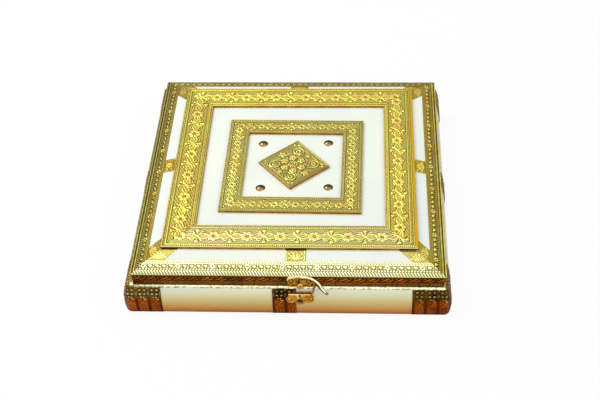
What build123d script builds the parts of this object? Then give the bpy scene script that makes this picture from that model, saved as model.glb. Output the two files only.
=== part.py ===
from build123d import *
import os
from math import asin, atan2, cos, degrees, radians, sin, sqrt

# Dry fruit box with a hinged lid and a horn hook latch.
# Millimetres. X runs to the right, Y to the back and Z up; the origin is the middle of the underside.

# Base: four mitred bullnose walls round a floor board
base_widest = 254.6
base_widest_height = 9.0
base_wall_height = 27.1
base_foot_inset = 0.9
base_ledge_inset = 4.6
base_nose_radius = 2.2
base_corner_radius = 5.6
wall_thickness = 11.3
floor_thickness = 4.0
floor_rebate = 4.0
glue_gap = 0.1

# Thin brass foils over the laminated wood
foil = 0.4
rim_foil_drop = 1.3
corner_foil_length = 30.0
middle_foil_width = 18.5
front_middle_foil_x = -1.4

# Inside of the base
lining = 1.0
lining_gap = 0.3
divider_thickness = 4.0
divider_top_clearance = 1.6
divider_end_gap = 0.2

# Lid: four mitred hip rails round a centre board, hung a little to the right of the base's middle
lid_offset = 1.3
lid_gap = 0.3
lid_side_inset = 7.2
lid_side_height = 8.1
border_width = 10.6
border_rise = 4.4
hip_width = 9.3
hip_rise = 2.2
lid_corner_radius = 1.5
rail_flat = 3.8
board_thickness = 4.0
board_rest = 4.0
hip_corner_foil_width = 18.6
hip_middle_foil_width = 16.0
front_hip_foil_x = 6.0

# Raised frames, diamond and studs on the centre board
strip_thickness = 2.3
strip_field_thickness = 2.0
strip_bead = 1.2
strip_round = 0.4
large_strip_width = 25.1
large_frame_shift = (0.2, 1.35)
large_frame_turn = 0.13
small_frame_half = 57.5
small_strip_width = 17.2
small_frame_shift = (-0.5, -0.85)
small_frame_turn = -0.63
mitre_gap = 0.05
diamond_side = 42.3
diamond_shift = (-0.1, -0.55)
diamond_turn = 45 - 4.2
stud_spread = 27.8
stud_shift = (0.85, -0.1)
stud_turn = 1.2
stud_radius = 4.0
stud_height = 1.8
stud_shank_radius = 0.6
stud_shank_length = 3.0

# Two brass butt hinges on the back
hinge_offset = 70.0
hinge_width = 24.0
hinge_leaf = 0.8
hinge_axis_out = 4.5
hinge_knuckle_radius = 1.6
hinge_lid_knuckle = 9.0
hinge_pin_radius = 0.8
hinge_running_gap = 0.06
hinge_knuckle_gap = 0.15
hinge_clearance = 0.3
hinge_leaf_foot = 8.0
hinge_nail_spread = 14.0
base_nail_height = 11.5
lid_nail_drop = 2.6

# Nails shared by the hinges and the latch
nail_side = 1.2
nail_head_radius = 1.4
nail_head_height = 0.45
nail_length = 6.0

# Horn latch: plate and hook on the lid, in a plane that leans out over the base
latch_x = 11.0
latch_tilt = 30.0
latch_lip = 1.3
hook_gap = 0.3
hook_thickness = 2.0
hook_chamfer = 0.5
pivot_drop = 7.0
pivot_radius = 1.0
pivot_running_gap = 0.06
pivot_boss_radius = 2.6
rivet_head_radius = 1.8
rivet_head_height = 0.7
rivet_head_gap = 0.1
rivet_depth = 2.0
lid_plate_half = 9.8
lid_plate_top_half = 8.6
lid_plate_ear_radius = 3.1
lid_plate_ear_drop = 3.4
lid_plate_lobe_radius = 2.9
lid_plate_lobe_drop = 6.5
nail_dish_radius = 1.9
nail_dish_depth = 0.5
claw_reach = 10.3
claw_thickness = 1.3
claw_root_angle = 24.0
claw_tip_angle = -38.0
horn_ball_radius = 1.3
horn_ball_round = 0.7
horn_ball_centre = (20.7, -5.6)

# Outline of the horn from the boss over the arch to the ball, measured from the pivot
horn_outer = [(-2.55, 0.5), (-3.4, 4.4), (0.6, 7.5), (8.4, 7.0), (14.5, 3.3), (17.4, -1.6), (20.2, -4.6)]
horn_inner = [(19.7, -6.0), (15.9, -3.0), (13.2, 1.0), (8.1, 4.5), (2.4, 5.8), (-0.6, 4.3), (0.6, 2.4)]

# Catch plate on the base, with the post that the claw closes round
catch_front = 0.7
catch_half = 10.7
catch_top_half = 8.9
catch_drop = 3.7
catch_ear_drop = 6.0
catch_ear_radius = 3.8
catch_nail_inset = 2.4
catch_lobe_drop = 7.6
catch_lobe_radius = 4.0
catch_eye_radius = 1.5
catch_eye_depth = 0.8
catch_post_radius = 1.0
catch_post_gap = 0.4
catch_post_root = 0.3
catch_head_gap = 0.4
catch_head_radius = 0.8
catch_head_length = 4.4

# Worked out from the sizes above
base_half = base_widest / 2
corner_axis = base_half - base_corner_radius
ledge_half = base_half - base_ledge_inset
nose_rise = base_wall_height - base_widest_height - base_nose_radius
side_radius = base_ledge_inset**2 + nose_rise**2 - base_nose_radius**2
side_radius /= 2 * (base_ledge_inset - base_nose_radius)
nose_angle = degrees(atan2(nose_rise, side_radius - base_ledge_inset))
wall_inner_half = base_half - wall_thickness
base_top = base_wall_height + foil
rim_foil_bottom = base_top - rim_foil_drop
lid_bottom = base_top + lid_gap
lid_side_top = lid_bottom + lid_side_height
hip_break_height = lid_side_top + border_rise
board_top = hip_break_height + hip_rise
board_bottom = board_top - board_thickness
lid_side_half = base_half - lid_side_inset
hip_break_half = lid_side_half - border_width
hip_top_half = hip_break_half - hip_width
board_half = hip_top_half - rail_flat
rail_inner_half = board_half - board_rest
large_frame_half = hip_top_half
catch_top = base_top - catch_drop
catch_ear_height = catch_top - catch_ear_drop
catch_lobe_height = catch_top - catch_lobe_drop
hinge_y = lid_side_half + hinge_axis_out
hinge_z = base_top + lid_gap + hinge_knuckle_radius
BIG = 2 * base_widest
SIDES = {side: 90 * turns for turns, side in enumerate(("front", "right", "back", "left"))}


def block(low, high):
    """A box between two opposite corners."""
    size = [b - a for a, b in zip(low, high)]
    return Pos(*low) * Box(*size, align=(Align.MIN, Align.MIN, Align.MIN))


def side_face(points):
    """A face in the XZ plane, from (distance, height) points."""
    return make_face(Plane.XZ * Polyline(*points, close=True))


def front_run(points, half_length):
    """A moulding along the front: its profile points are (distance from the middle, height)."""
    run = extrude(side_face(points), half_length, both=True)
    return Rot(0, 0, -90) * run


def mitre_wedge(side, gap=0.0):
    """The quarter of the plan between two mitre lines, seen from the middle towards one side."""
    apex = gap * sqrt(2)
    plan = Polyline((0, -apex), (BIG, -apex - BIG), (-BIG, -apex - BIG), close=True)
    return Rot(0, 0, SIDES[side]) * extrude(make_face(plan), BIG, both=True)


def rounded_prism(half, radius, low, high):
    plan = RectangleRounded(2 * half, 2 * half, radius)
    return Pos(0, 0, low) * extrude(plan, high - low)


def bullnose(skin):
    """Outer side of the base from the corner axis outwards, grown by a skin thickness."""
    sag_radius = (base_foot_inset**2 + base_widest_height**2) / (2 * base_foot_inset) + skin
    foot_angle = degrees(asin(base_widest_height / sag_radius))
    foot_x = base_half + skin - sag_radius * (1 - cos(radians(foot_angle)))
    sag_centre = (base_half + skin - sag_radius, base_widest_height)
    side_centre = (base_half - side_radius, base_widest_height)
    nose_centre = (ledge_half, base_wall_height - base_nose_radius)
    nose_radius = base_nose_radius + skin
    top = base_wall_height + skin
    outline = Curve() + [
        Line((corner_axis, 0), (foot_x, 0)),
        CenterArc(sag_centre, sag_radius, -foot_angle, foot_angle),
        CenterArc(side_centre, side_radius + skin, 0, nose_angle),
        CenterArc(nose_centre, nose_radius, nose_angle, 90 - nose_angle),
        Line((ledge_half, top), (corner_axis, top)),
        Line((corner_axis, top), (corner_axis, 0)),
    ]
    return make_face(Plane.XZ * outline)


def base_form(skin):
    """The outside of the base as one block: straight sides and round corners."""
    face = bullnose(skin)
    side = extrude(face, corner_axis, both=True)
    corner = revolve(Pos(-corner_axis, 0, 0) * face, Axis.Z, 90)
    corner = Pos(corner_axis, corner_axis, 0) * corner
    top = base_wall_height + skin
    form = block((-corner_axis, -corner_axis, 0), (corner_axis, corner_axis, top))
    for turn in SIDES.values():
        form += Rot(0, 0, turn) * side
        form += Rot(0, 0, turn) * corner
    return form


parts = {}
wood_form = base_form(0)
foil_skin = base_form(foil) - wood_form
cavity = block(
    (-wall_inner_half, -wall_inner_half, -1), (wall_inner_half, wall_inner_half, BIG)
)


def make_base_walls():
    seat_half = wall_inner_half + floor_rebate
    seat = block((-seat_half, -seat_half, -1), (seat_half, seat_half, floor_thickness))
    ring = wood_form - cavity - seat
    for side in SIDES:
        parts[f"base_wall_{side}"] = ring & mitre_wedge(side)
    board_reach = seat_half - glue_gap
    parts["base_floor_board"] = block(
        (-board_reach, -board_reach, 0), (board_reach, board_reach, floor_thickness)
    )


def make_base_foils():
    rim = foil_skin & block((-BIG, -BIG, rim_foil_bottom), (BIG, BIG, BIG))
    rim -= cavity
    for side in SIDES:
        parts[f"base_rim_foil_{side}"] = rim & mitre_wedge(side)
    low_skin = foil_skin & block((-BIG, -BIG, 0), (BIG, BIG, rim_foil_bottom))
    start = base_half + foil - corner_foil_length
    corners = {
        "front_right": (1, -1), "back_right": (1, 1), "back_left": (-1, 1), "front_left": (-1, -1)
    }
    for name, (sx, sy) in corners.items():
        near = (min(sx * start, sx * BIG), min(sy * start, sy * BIG), 0)
        far = (max(sx * start, sx * BIG), max(sy * start, sy * BIG), BIG)
        parts[f"base_corner_foil_{name}"] = low_skin & block(near, far)
    for side, turn in SIDES.items():
        middle = front_middle_foil_x if side == "front" else 0.0
        patch = block(
            (middle - middle_foil_width / 2, -BIG, 0), (middle + middle_foil_width / 2, 0, BIG)
        )
        parts[f"base_middle_foil_{side}"] = low_skin & Rot(0, 0, turn) * patch


def make_base_inside():
    reach = wall_inner_half - lining_gap
    lining_top = floor_thickness + lining
    parts["floor_lining"] = block((-reach, -reach, floor_thickness), (reach, reach, lining_top))
    divider_top = base_top - divider_top_clearance
    middle = (divider_top + lining_top) / 2
    end = wall_inner_half - divider_end_gap
    half = divider_thickness / 2
    slot = half + glue_gap
    across = block((-end, -half, lining_top), (end, half, divider_top))
    along = block((-half, -end, lining_top), (half, end, divider_top))
    parts["divider_left_right"] = across - block((-slot, -BIG, middle), (slot, BIG, BIG))
    parts["divider_front_back"] = along - block((-BIG, -slot, 0), (BIG, slot, middle + glue_gap))


def make_lid_rails():
    profile = [
        (lid_side_half, lid_bottom),
        (lid_side_half, lid_side_top),
        (hip_break_half, hip_break_height),
        (hip_top_half, board_top),
        (board_half, board_top),
        (board_half, board_bottom),
        (rail_inner_half, board_bottom),
        (rail_inner_half, lid_bottom),
    ]
    run = front_run(profile, lid_side_half)
    run &= rounded_prism(lid_side_half, lid_corner_radius, 0, BIG)
    for side, turn in SIDES.items():
        parts[f"lid_rail_{side}"] = Rot(0, 0, turn) * (run & mitre_wedge("front"))
    fit = board_half - glue_gap
    parts["lid_centre_board"] = block((-fit, -fit, board_bottom), (fit, fit, board_top))
    reach = rail_inner_half - lining_gap
    parts["lid_lining"] = block(
        (-reach, -reach, board_bottom - lining), (reach, reach, board_bottom)
    )


def slope_lift(run, rise):
    """Outward and upward shift of a foil laid on a slope."""
    length = sqrt(run**2 + rise**2)
    return foil * rise / length, foil * run / length


def make_lid_foils():
    out, up = slope_lift(border_width, border_rise)
    outer = lid_side_half + foil
    eave = hip_break_height + up - (outer - hip_break_half - out) * border_rise / border_width
    border_profile = [
        (hip_break_half, hip_break_height),
        (lid_side_half, lid_side_top),
        (outer, lid_side_top),
        (outer, eave),
        (hip_break_half + out, hip_break_height + up),
    ]
    side_profile = [
        (lid_side_half, lid_bottom),
        (outer, lid_bottom),
        (outer, lid_side_top),
        (lid_side_half, lid_side_top),
    ]
    outside = rounded_prism(outer, lid_corner_radius + foil, 0, BIG)
    lid_wood = rounded_prism(lid_side_half, lid_corner_radius, 0, lid_side_top)
    border = front_run(border_profile, outer) & outside & mitre_wedge("front")
    band = (front_run(side_profile, outer) & outside & mitre_wedge("front")) - lid_wood
    for side, turn in SIDES.items():
        parts[f"lid_border_foil_{side}"] = Rot(0, 0, turn) * border
        parts[f"lid_side_foil_{side}"] = Rot(0, 0, turn) * band

    hip_out, hip_up = slope_lift(hip_width, hip_rise)
    hip_profile = [
        (hip_top_half, board_top),
        (hip_break_half, hip_break_height),
        (hip_break_half, hip_break_height + hip_up + hip_out * hip_rise / hip_width),
        (hip_top_half + hip_out, board_top + hip_up),
    ]
    hip = front_run(hip_profile, outer)
    hip_foils = hip & block((-BIG, -BIG, 0), (BIG, 0, BIG))
    edge = large_frame_half + glue_gap
    frame_outline = Pos(*large_frame_shift, 0) * Rot(0, 0, large_frame_turn)
    frame_outline *= block((-edge, -edge, 0), (edge, edge, BIG))
    corner_strip = Rot(0, 0, -135) * block(
        (0, -hip_corner_foil_width / 2, 0), (BIG, hip_corner_foil_width / 2, BIG)
    )
    left_leg = hip_foils & mitre_wedge("front") & corner_strip
    right_leg = Rot(0, 0, -90) * mirror(left_leg, Plane.YZ)
    corner_foil = left_leg + right_leg
    parts["hip_corner_foils"] = Compound(
        [Rot(0, 0, turn) * corner_foil - frame_outline for turn in SIDES.values()]
    )
    middle_foils = []
    for side, turn in SIDES.items():
        middle = front_hip_foil_x if side == "front" else 0.0
        patch = block(
            (middle - hip_middle_foil_width / 2, -BIG, 0), (middle + hip_middle_foil_width / 2, 0, BIG)
        )
        middle_foils.append(Rot(0, 0, turn) * (hip_foils & patch) - frame_outline)
    parts["hip_middle_foils"] = Compound(middle_foils)


def frame_strips(name, half, width, shift, turn):
    """Four mitred strips with beaded edges, laid as a square frame on the centre board."""
    groove = strip_bead + strip_thickness - strip_field_thickness
    inner = half - width
    profile = [
        (half, 0),
        (half, strip_thickness - strip_round),
        (half - strip_round, strip_thickness),
        (half - strip_bead, strip_thickness),
        (half - groove, strip_field_thickness),
        (inner + groove, strip_field_thickness),
        (inner + strip_bead, strip_thickness),
        (inner + strip_round, strip_thickness),
        (inner, strip_thickness - strip_round),
        (inner, 0),
    ]
    run = front_run(profile, half) & mitre_wedge("front", mitre_gap)
    place = Pos(shift[0], shift[1], board_top) * Rot(0, 0, turn)
    for side, angle in SIDES.items():
        parts[f"{name}_{side}"] = place * Rot(0, 0, angle) * run


def make_diamond():
    plate = Box(diamond_side, diamond_side, strip_thickness, align=(Align.CENTER, Align.CENTER, Align.MIN))
    plate = chamfer(plate.faces().sort_by(Axis.Z)[-1].edges(), strip_round)
    parts["diamond_plate"] = Pos(*diamond_shift, board_top) * Rot(0, 0, diamond_turn) * plate


def make_studs():
    sphere_radius = (stud_radius**2 + stud_height**2) / (2 * stud_height)
    dome = Pos(0, 0, stud_height - sphere_radius) * Sphere(sphere_radius)
    dome &= block((-BIG, -BIG, 0), (BIG, BIG, BIG))
    shank = Cylinder(
        stud_shank_radius, stud_shank_length, align=(Align.CENTER, Align.CENTER, Align.MAX)
    )
    place = Pos(*stud_shift, board_top) * Rot(0, 0, stud_turn)
    spots = [(x, y) for x in (-stud_spread, stud_spread) for y in (-stud_spread, stud_spread)]
    parts["dome_studs"] = Compound([place * Pos(x, y, 0) * (dome + shank) for x, y in spots])
    for x, y in spots:
        parts["lid_centre_board"] -= place * Pos(x, y, 0) * shank


def nail(head_height):
    """A round-headed square brad pointing down, with its head's underside at the origin."""
    shank = Box(nail_side, nail_side, nail_length, align=(Align.CENTER, Align.CENTER, Align.MAX))
    head = Cylinder(nail_head_radius, head_height, align=(Align.CENTER, Align.CENTER, Align.MIN))
    rim = head.faces().sort_by(Axis.Z)[-1].edges()
    return shank + chamfer(rim, 0.6 * head_height)


def drive(nails, name, *carriers):
    """Adds a set of nails as one node and makes their holes in what they pass through."""
    parts[name] = Compound(nails)
    for carrier in carriers:
        for one in nails:
            parts[carrier] -= one


def set_lid_over():
    """Moves the lid's finished pieces sideways, onto the hinges."""
    for name in parts:
        if not name.startswith(("base", "floor", "divider")):
            parts[name] = Pos(lid_offset, 0, 0) * parts[name]


def make_hinges():
    knuckle_x = hinge_lid_knuckle / 2
    base_knuckle = hinge_width / 2 - knuckle_x - hinge_knuckle_gap
    axis = Pos(0, hinge_y, hinge_z) * Rot(0, 90, 0)
    pin = axis * Cylinder(hinge_pin_radius, hinge_width)
    barrel = axis * Cylinder(hinge_knuckle_radius, hinge_width)
    far = hinge_width / 2
    ends = block((-far, -BIG, 0), (-far + base_knuckle, BIG, BIG))
    ends += block((far - base_knuckle, -BIG, 0), (far, BIG, BIG))
    plate_back = hinge_y + hinge_knuckle_radius
    plate_front = plate_back - hinge_leaf
    reach = plate_front - base_half + side_radius
    join = base_widest_height + sqrt(side_radius**2 - reach**2)
    nose = extrude(bullnose(hinge_leaf), far, both=True) - extrude(bullnose(0), BIG, both=True)
    leaf = Rot(0, 0, 90) * nose & block((-far, 0, hinge_leaf_foot), (far, BIG, join))
    leaf += block((-far, plate_front, join), (far, plate_back, hinge_z))
    below = hinge_z - hinge_knuckle_radius - hinge_clearance
    middle = knuckle_x + hinge_knuckle_gap
    leaf -= block((-middle, 0, below), (middle, BIG, BIG))
    leaf += barrel & ends
    leaf -= pin
    bore = axis * Cylinder(hinge_pin_radius + hinge_running_gap, hinge_width)
    lid_back = lid_side_half + foil
    lid_leaf = block(
        (-far, lid_back, lid_bottom), (far, lid_back + hinge_leaf, lid_side_top - hinge_clearance)
    )
    tongue_top = hinge_z + hinge_knuckle_radius
    lid_leaf += block(
        (-knuckle_x, lid_back, tongue_top - hinge_leaf), (knuckle_x, hinge_y, tongue_top)
    )
    lid_leaf += barrel & block((-knuckle_x, 0, 0), (knuckle_x, BIG, BIG))
    lid_leaf -= bore
    spots = {"left": lid_offset - hinge_offset, "right": lid_offset + hinge_offset}
    base_nails = []
    lid_nails = []
    for side, x in spots.items():
        parts[f"hinge_base_leaf_{side}"] = Pos(x, 0, 0) * leaf
        parts[f"hinge_lid_leaf_{side}"] = Pos(x, 0, 0) * lid_leaf
        for dx in (-hinge_nail_spread / 2, hinge_nail_spread / 2):
            one = Rot(-90, 0, 0) * nail(nail_head_height)
            base_nails.append(Pos(x + dx, base_half + hinge_leaf, base_nail_height) * one)
            height = lid_side_top - lid_nail_drop
            lid_nails.append(Pos(x + dx, lid_back + hinge_leaf, height) * one)
    parts["hinge_pins"] = Compound([Pos(x, 0, 0) * pin for x in spots.values()])
    drive(base_nails, "hinge_base_nails", "hinge_base_leaf_left", "hinge_base_leaf_right", "base_wall_back")
    drive(
        lid_nails, "hinge_lid_nails",
        "hinge_lid_leaf_left", "hinge_lid_leaf_right", "lid_side_foil_back", "lid_rail_back",
    )


latch_plane = Plane(
    origin=(latch_x, -(lid_side_half + foil + latch_lip), lid_side_top),
    x_dir=(1, 0, 0),
    z_dir=(0, -cos(radians(latch_tilt)), sin(radians(latch_tilt))),
)


def make_lid_plate():
    ear_x = lid_plate_half - lid_plate_ear_radius
    outline = make_face(Polyline(
        (-lid_plate_top_half, lid_plate_ear_radius), (lid_plate_top_half, lid_plate_ear_radius),
        (lid_plate_top_half, -lid_plate_ear_drop), (lid_plate_lobe_radius, -lid_plate_lobe_drop),
        (-lid_plate_lobe_radius, -lid_plate_lobe_drop), (-lid_plate_top_half, -lid_plate_ear_drop),
        close=True,
    ))
    outline += Pos(0, -lid_plate_lobe_drop) * Circle(lid_plate_lobe_radius)
    for x in (-ear_x, ear_x):
        outline += Pos(x, -lid_plate_ear_drop) * Circle(lid_plate_ear_radius)
    depth = 3 * lid_plate_half
    plate = latch_plane * Pos(0, 0, -hook_gap) * extrude(outline, -depth)
    plate &= block((-BIG, -BIG, lid_bottom), (BIG, -(lid_side_half + foil), lid_side_top))
    shaft_length = hook_thickness + hook_gap + rivet_head_gap
    shaft = Pos(0, 0, -hook_gap - rivet_depth) * Cylinder(
        pivot_radius, shaft_length + rivet_depth, align=(Align.CENTER, Align.CENTER, Align.MIN)
    )
    head = Pos(0, 0, hook_thickness + rivet_head_gap) * Cylinder(
        rivet_head_radius, rivet_head_height, align=(Align.CENTER, Align.CENTER, Align.MIN)
    )
    head = chamfer(head.faces().sort_by(Axis.Z)[-1].edges(), 0.6 * rivet_head_height)
    rivet = latch_plane * Pos(0, -pivot_drop, 0) * (shaft + head)
    parts["latch_rivet"] = rivet
    plate -= rivet
    nails = []
    for x in (-ear_x, ear_x):
        spot = latch_plane * Pos(x, -lid_plate_ear_drop, -hook_gap - nail_dish_depth)
        plate -= spot * Cylinder(
            nail_dish_radius, 2 * nail_dish_depth, align=(Align.CENTER, Align.CENTER, Align.MIN)
        )
        nails.append(spot * nail(nail_head_height))
    parts["latch_lid_plate"] = plate
    drive(nails, "latch_lid_nails", "latch_lid_plate", "lid_side_foil_front", "lid_rail_front")


def make_hook():
    edge_out = Spline(*horn_outer)
    edge_in = Spline(*horn_inner)
    arm = make_face(Curve() + [
        edge_out, Line(edge_out @ 1, edge_in @ 0), edge_in, Line(edge_in @ 1, edge_out @ 0)
    ])
    claw_outer = claw_reach + claw_thickness
    middle = claw_reach + claw_thickness / 2
    sector = Polyline(
        (0, 0),
        (BIG * cos(radians(claw_tip_angle)), BIG * sin(radians(claw_tip_angle))),
        (BIG * cos(radians(claw_root_angle)), BIG * sin(radians(claw_root_angle))),
        close=True,
    )
    claw = (Circle(claw_outer) - Circle(claw_reach)) & make_face(sector)
    tip = Pos(
        middle * cos(radians(claw_tip_angle)), middle * sin(radians(claw_tip_angle))
    ) * Circle(claw_thickness / 2)
    outline = Circle(pivot_boss_radius) + arm + claw + tip
    hook = extrude(outline, hook_thickness)
    levels = hook.edges().group_by(Axis.Z)
    hook = chamfer(levels[0] + levels[-1], hook_chamfer)
    hook -= Cylinder(pivot_radius + pivot_running_gap, 3 * hook_thickness)
    ball = Cylinder(horn_ball_radius, 2 * horn_ball_radius)
    ball = chamfer(ball.edges().group_by(Axis.Z)[0] + ball.edges().group_by(Axis.Z)[-1], horn_ball_round)
    ball = Pos(*horn_ball_centre, hook_thickness / 2) * ball
    parts["latch_hook"] = latch_plane * Pos(0, -pivot_drop, 0) * (hook + ball)


def make_catch():
    front = base_half + foil + catch_front
    ear_x = catch_half - catch_ear_radius
    top = make_face(Plane.XZ * Polyline(
        (-catch_top_half, catch_ear_height), (catch_top_half, catch_ear_height),
        (catch_top_half, catch_top), (-catch_top_half, catch_top), close=True,
    ))
    plate = extrude(top, front, both=True)
    for x, z, radius in (
        (-ear_x, catch_ear_height, catch_ear_radius),
        (ear_x, catch_ear_height, catch_ear_radius),
        (0, catch_lobe_height, catch_lobe_radius),
    ):
        plate += Pos(x, 0, z) * Rot(90, 0, 0) * Cylinder(radius, 2 * front)
    plate &= block((-BIG, -front, 0), (BIG, -corner_axis, BIG))
    plate = Pos(latch_x, 0, 0) * plate - wood_form - foil_skin
    eye = Pos(latch_x, -front, catch_lobe_height) * Rot(90, 0, 0) * Cylinder(
        catch_eye_radius, 2 * catch_eye_depth
    )
    plate -= eye
    reach = claw_reach - catch_post_radius - catch_post_gap
    above = hook_thickness + catch_head_gap
    post = Cylinder(catch_post_radius, 2 * BIG) & block((-BIG, -BIG, -BIG), (BIG, BIG, above + catch_head_radius))
    bar = Pos(0, 0, above + catch_head_radius) * Rot(0, 90, 0) * Cylinder(
        catch_head_radius, catch_head_length
    )
    ends = bar.faces().sort_by(Axis.X)
    bar = chamfer([*ends[0].edges(), *ends[-1].edges()], 0.5 * catch_head_radius)
    lug = latch_plane * Pos(0, -pivot_drop - reach, 0) * (post + bar)
    root = base_half + foil + catch_post_root
    plate += lug & block((-BIG, -BIG, 0), (BIG, -root, BIG))
    nails = []
    for x in (-catch_half + catch_nail_inset, catch_half - catch_nail_inset):
        spot = Pos(latch_x + x, -front + nail_dish_depth, catch_ear_height) * Rot(90, 0, 0)
        plate -= spot * Cylinder(
            nail_dish_radius, 2 * nail_dish_depth, align=(Align.CENTER, Align.CENTER, Align.MIN)
        )
        nails.append(spot * nail(nail_head_height))
    parts["latch_catch_plate"] = plate
    drive(nails, "latch_catch_nails", "latch_catch_plate", "base_middle_foil_front", "base_wall_front")


make_base_walls()
make_base_foils()
make_base_inside()
make_lid_rails()
make_lid_foils()
frame_strips("large_frame_strip", large_frame_half, large_strip_width, large_frame_shift, large_frame_turn)
frame_strips("small_frame_strip", small_frame_half, small_strip_width, small_frame_shift, small_frame_turn)
make_diamond()
make_studs()
set_lid_over()
make_hinges()
make_lid_plate()
make_hook()
make_catch()

os.makedirs("parts", exist_ok=True)
for name, shape in parts.items():
    export_step(shape, f"parts/{name}.step")
print(len(parts), "sub-parts written")
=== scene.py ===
import math
from functools import reduce

import bpy
import numpy as np
from mathutils import Matrix, Vector


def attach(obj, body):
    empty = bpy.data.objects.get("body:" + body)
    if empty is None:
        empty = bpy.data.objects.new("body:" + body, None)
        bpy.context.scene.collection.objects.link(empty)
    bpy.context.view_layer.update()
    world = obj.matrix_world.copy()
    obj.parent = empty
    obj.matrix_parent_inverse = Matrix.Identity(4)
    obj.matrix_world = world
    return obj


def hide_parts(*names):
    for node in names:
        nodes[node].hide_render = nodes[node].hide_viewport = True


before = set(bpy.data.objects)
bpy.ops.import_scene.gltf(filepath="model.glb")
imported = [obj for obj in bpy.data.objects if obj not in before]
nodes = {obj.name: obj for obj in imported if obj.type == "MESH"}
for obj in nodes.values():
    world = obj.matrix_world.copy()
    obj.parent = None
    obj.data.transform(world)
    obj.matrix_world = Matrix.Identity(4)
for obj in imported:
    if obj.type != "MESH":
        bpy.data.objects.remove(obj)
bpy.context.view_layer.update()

# Sizes in millimetres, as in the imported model; the meshes are made in millimetres and scaled once
MM = 0.001
SIDES = {"front": 0, "right": 90, "back": 180, "left": 270}
FINE = 0.27

BASE_HALF = 127.3
BASE_WIDEST_Z = 9.0
BASE_TOP = 27.1
BASE_LEDGE_INSET = 4.6
BASE_NOSE_RADIUS = 2.2
BASE_FOOT_INSET = 0.9
CORNER_AXIS = 121.7
FOIL = 0.4
RIM_FOIL_Z = 26.2
CORNER_FOIL_LENGTH = 30.0
MIDDLE_FOIL_WIDTH = 18.5
FRONT_MIDDLE_FOIL_X = -1.4
LID_OFFSET = 1.3
LID_BOTTOM = 27.8
LID_SIDE_TOP = 35.9
LID_SIDE_HALF = 120.1
HIP_BREAK = (109.5, 40.3)
HIP_TOP = (100.2, 42.5)
HIP_CORNER_FOIL_WIDTH = 18.6
HIP_MIDDLE_FOIL_WIDTH = 16.0
FRONT_HIP_FOIL_X = 6.0
BOARD_TOP = HIP_TOP[1]
FIELD_THICKNESS = 1.9
LARGE_FRAME = {"half": 100.2, "width": 25.1, "shift": (0.2, 1.35), "turn": 0.13, "period": 26.4}
SMALL_FRAME = {"half": 57.5, "width": 17.2, "shift": (-0.5, -0.85), "turn": -0.63, "period": 17.4}
DIAMOND_SIDE = 42.3
DIAMOND_SHIFT = (-0.1, -0.55)
DIAMOND_TURN = 40.8


def srgb(tone):
    """A linear colour from screen values, 0 to 255."""
    shares = [value / 255 for value in tone]
    return (*(x / 12.92 if x <= 0.04045 else ((x + 0.055) / 1.055) ** 2.4 for x in shares), 1.0)


# Height-field tools: u runs along a strip and v across it, both in millimetres
def smooth(x):
    x = np.clip(x, 0.0, 1.0)
    return x * x * (3 - 2 * x)


def highest(*heights):
    return reduce(np.maximum, heights)


def boss(u, v, centre_u, centre_v, radius_u, radius_v, turn=0.0):
    """Rounded boss with an elliptical plan, 0 to 1."""
    c, s = math.cos(turn), math.sin(turn)
    du, dv = u - centre_u, v - centre_v
    a = (du * c + dv * s) / radius_u
    b = (dv * c - du * s) / radius_v
    return np.clip(1 - a * a - b * b, 0, 1) ** 0.6


def stroke(u, v, points):
    """Rounded ridge along a polyline of (u, v, radius) points, 0 to 1."""
    height = np.zeros_like(u)
    for (u0, v0, r0), (u1, v1, r1) in zip(points, points[1:]):
        du, dv = u1 - u0, v1 - v0
        t = np.clip(((u - u0) * du + (v - v0) * dv) / (du * du + dv * dv), 0, 1)
        gap = (u - u0 - t * du) ** 2 + (v - v0 - t * dv) ** 2
        radius = r0 + (r1 - r0) * t
        height = np.maximum(height, np.clip(1 - gap / radius**2, 0, 1) ** 0.6)
    return height


def line(v, centre, half):
    """Rounded ridge along the strip."""
    return np.clip(1 - ((v - centre) / half) ** 2, 0, 1) ** 0.6


def ring(u, v, centre_u, centre_v, radius, half):
    """Rounded ridge along a circle."""
    return line(np.hypot(u - centre_u, v - centre_v), radius, half)


def twist(u, v, pitch, slant):
    """Slanted strokes, 0 to 1."""
    return 0.5 + 0.5 * np.cos(2 * math.pi * (u + slant * v) / pitch)


def dashes(u, v, pitch, slant):
    """Separate slanted strokes, 0 to 1."""
    return smooth(1.8 * twist(u, v, pitch, slant) - 0.4)


def rope(u, v, centre, half, pitch, slant):
    """Twisted bead along the strip."""
    return line(v, centre, half) * (0.2 + 0.8 * twist(u, v - centre, pitch, slant))


def folded(u, period, phase):
    """Distance from the nearest repeat of a motif, with its sign."""
    return (u - phase + period / 2) % period - period / 2


def blurred(height, reach):
    """Box blur over a number of cells each way."""
    for axis in (0, 1):
        pad = [(0, 0), (0, 0)]
        pad[axis] = (reach + 1, reach)
        total = np.cumsum(np.pad(height, pad, mode="edge"), axis=axis)
        size = height.shape[axis]
        high = np.take(total, np.arange(size) + 2 * reach + 1, axis=axis)
        height = (high - np.take(total, np.arange(size), axis=axis)) / (2 * reach + 1)
    return height


def crevices(height):
    """Where the stamped work is darkened, as grime and painted shade in its crevices, 0 to 1."""
    near = blurred(height, max(1, round(0.5 / FINE)))
    wide = blurred(height, round(1.3 / FINE))
    return np.clip(7.0 * (near - height) + 2.5 * (wide - height), 0, 1)


def flower(a, b, size=1.0, petals=7, turn=0.3):
    """Round-petalled flower about (0, 0)."""
    height = np.zeros_like(a)
    for k in range(petals):
        angle = turn + 2 * math.pi * k / petals
        reach = 3.1 * size
        height = np.maximum(height, boss(
            a, b, reach * math.cos(angle), reach * math.sin(angle),
            1.95 * size, 1.75 * size, angle,
        ))
    return height - 0.8 * boss(a, b, 0, 0, 1.3 * size, 1.3 * size)


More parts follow.
